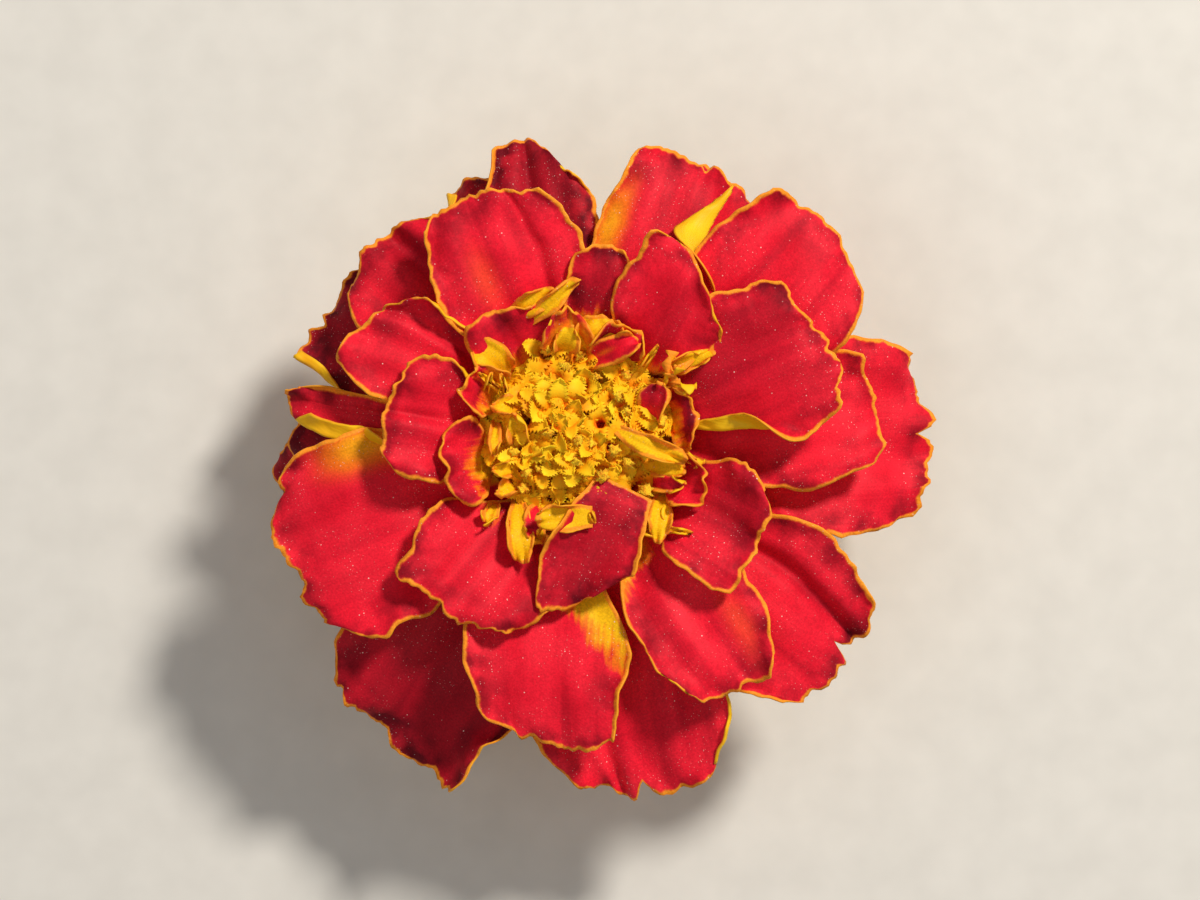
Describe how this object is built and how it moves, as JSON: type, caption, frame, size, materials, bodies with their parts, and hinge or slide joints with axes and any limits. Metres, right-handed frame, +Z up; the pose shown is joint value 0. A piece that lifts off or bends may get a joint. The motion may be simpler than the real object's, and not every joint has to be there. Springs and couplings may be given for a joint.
{
  "type": "marigold flower",
  "caption": "Double French marigold, picked: velvety red rays with thin yellow rims in layered rounds, a yellow disc, a green calyx cup and the stub of the stalk.",
  "frame": {"origin": "on the surface that the flower rests on, under the middle of the whole head's outline", "axes": "+Z up along the flower's axis, out of its face; +X and +Y across the head, with the notched ray florets towards -Y"},
  "size_m": [0.0508, 0.0506, 0.0242],
  "materials": {
    "ray_petals": "velvety bright red petal with yellow-orange rims and a yellow underside",
    "disc_florets": "soft golden yellow floret, orange-brown in its depths",
    "calyx_green": "smooth green bract with dark glands, slightly waxy",
    "stalk_green": "ribbed light green stalk, pale and moist where it is cut"
  },
  "bodies": {
    "root": {"ray_petals": "ray_petals", "disc_florets": "disc_florets", "involucre": "calyx_green", "stalk": "stalk_green"}
  },
  "joints": []
}
